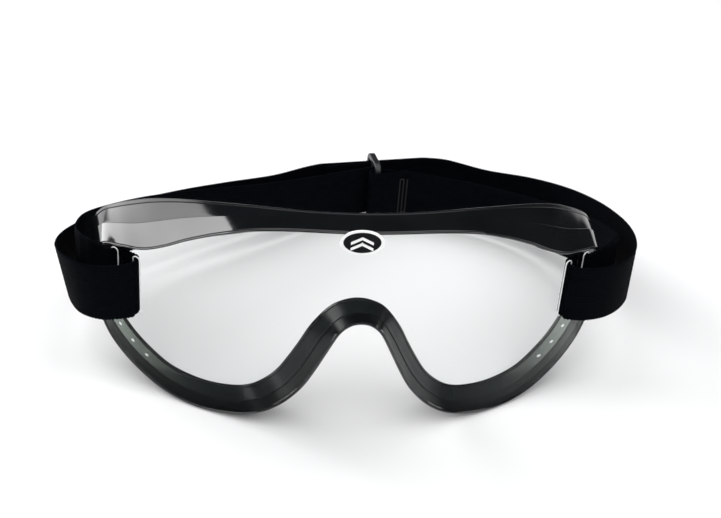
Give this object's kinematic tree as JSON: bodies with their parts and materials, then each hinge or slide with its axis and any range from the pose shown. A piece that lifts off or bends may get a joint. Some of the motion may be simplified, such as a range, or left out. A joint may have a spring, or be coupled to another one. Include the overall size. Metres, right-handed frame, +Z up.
{
  "type": "sport goggles",
  "caption": "Soft sport goggles: clear wrap lens in a black vinyl skirt with vents, and a doubled elastic strap woven through the lens ends with a slider.",
  "frame": {"origin": "middle of the overall box, on the surface that the goggles stand on", "axes": "+X across the face, to the right as seen from in front of the lens, +Y from the lens towards the back of the head, +Z up"},
  "size_m": [0.2482, 0.1784, 0.0958],
  "materials": {
    "clear_lens": "clear glossy flexible sheet",
    "smoke_vinyl": "glossy black smoke film",
    "lip_vinyl": "glossy dark smoke film",
    "black_elastic": "matt woven elastic",
    "slider_plastic": "satin moulded plastic",
    "black_thread": "bonded thread",
    "badge_print": "printed badge, white outline on black"
  },
  "bodies": {
    "goggles": {"lens": "clear_lens", "brow_skirt": "smoke_vinyl", "brow_lip": "lip_vinyl", "cheek_skirt": "smoke_vinyl", "cheek_lip": "lip_vinyl", "badge": "badge_print", "strap_outer": "black_elastic", "strap_inner_left": "black_elastic", "strap_inner_right": "black_elastic"},
    "slider": {"slider": "slider_plastic", "loop_stitches": "black_thread"}
  },
  "joints": [
    {"name": "slider_travel", "type": "slide", "parent": "goggles", "child": "slider", "axis": [0.9881, 0.1539, 0], "range_m": [-0.012, 0.012], "deforming": ["strap_inner_left", "strap_inner_right"]}
  ]
}
